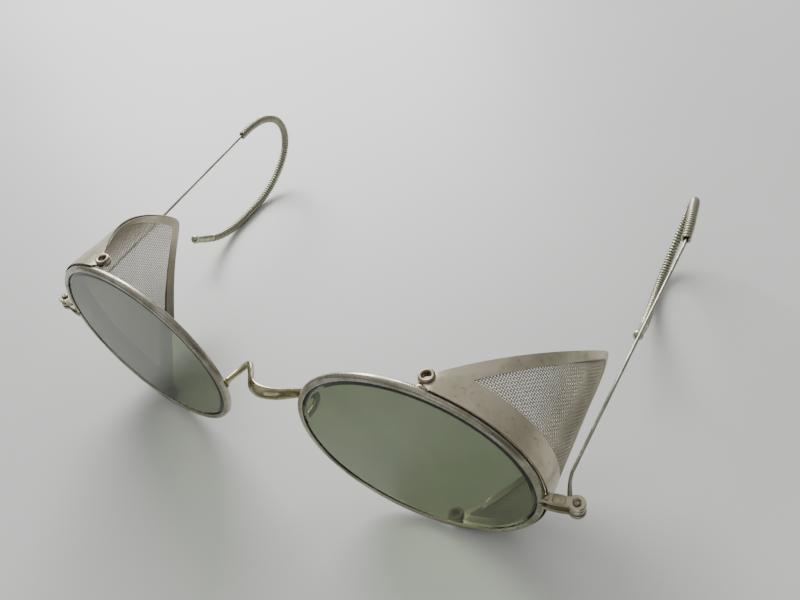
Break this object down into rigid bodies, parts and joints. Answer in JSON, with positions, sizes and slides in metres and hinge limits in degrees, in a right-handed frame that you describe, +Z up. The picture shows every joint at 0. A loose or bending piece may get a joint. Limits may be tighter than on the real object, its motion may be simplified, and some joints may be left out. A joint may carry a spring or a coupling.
{
  "type": "glacier glasses",
  "caption": "Round wire-rimmed glacier glasses with smoked lenses, hinged wire-cloth side shields and folding temples that end in coiled cable ear hooks.",
  "frame": {"origin": "on the resting surface, below the middle of the outer box", "axes": "+X towards the wearer's left, +Y from the lenses back towards the ears, +Z up"},
  "size_m": [0.1234, 0.0884, 0.0407],
  "materials": {
    "nickel_silver": "worn satin, pale warm nickel silver",
    "satin_sheet": "satin rolled sheet, lightly stained",
    "wire_cloth": "fine woven wire",
    "coiled_cable": "close-wound wire, tarnished between the turns",
    "rolled_eyelet": "rolled brass under worn plating",
    "dark_screw": "darkened screw head",
    "smoked_glass": "grey-green smoked glass, polished"
  },
  "bodies": {
    "frame": {"bridge": "nickel_silver", "left_rim": "nickel_silver", "left_lens": "smoked_glass", "left_upper_end_plate": "nickel_silver", "left_lower_end_plate": "nickel_silver", "left_hinge_screw": "dark_screw", "left_top_lug": "nickel_silver", "left_top_eyelet": "rolled_eyelet", "left_bottom_lug": "nickel_silver", "left_bottom_eyelet": "rolled_eyelet", "right_rim": "nickel_silver", "right_lens": "smoked_glass", "right_upper_end_plate": "nickel_silver", "right_lower_end_plate": "nickel_silver", "right_hinge_screw": "dark_screw", "right_top_lug": "nickel_silver", "right_top_eyelet": "rolled_eyelet", "right_bottom_lug": "nickel_silver", "right_bottom_eyelet": "rolled_eyelet"},
    "left_temple": {"left_temple_wire": "nickel_silver", "left_ear_cable": "coiled_cable", "left_ear_tip": "nickel_silver"},
    "left_shield": {"left_shield_frame": "satin_sheet", "left_shield_mesh": "wire_cloth"},
    "right_temple": {"right_temple_wire": "nickel_silver", "right_ear_cable": "coiled_cable", "right_ear_tip": "nickel_silver"},
    "right_shield": {"right_shield_frame": "satin_sheet", "right_shield_mesh": "wire_cloth"}
  },
  "joints": [
    {"name": "left_temple_fold", "type": "hinge", "parent": "frame", "child": "left_temple", "pos_m": [0.06022, -0.03879, 0.02036], "axis": [0, 0, 1], "range_deg": [0, 37.5]},
    {"name": "right_temple_fold", "type": "hinge", "parent": "frame", "child": "right_temple", "pos_m": [-0.06022, -0.03879, 0.02036], "axis": [0, 0, -1], "range_deg": [0, 37.5]},
    {"name": "left_shield_fold", "type": "hinge", "parent": "frame", "child": "left_shield", "pos_m": [0.03633, -0.0387, 0.02036], "axis": [0, 0, 1], "range_deg": [0, 90]},
    {"name": "right_shield_fold", "type": "hinge", "parent": "frame", "child": "right_shield", "pos_m": [-0.03633, -0.0387, 0.02036], "axis": [0, 0, -1], "range_deg": [0, 90]}
  ],
  "couplings": [
    {"joint": "left_shield_fold", "follows": "left_temple_fold", "ratio": 2.4},
    {"joint": "right_shield_fold", "follows": "right_temple_fold", "ratio": 2.4}
  ]
}
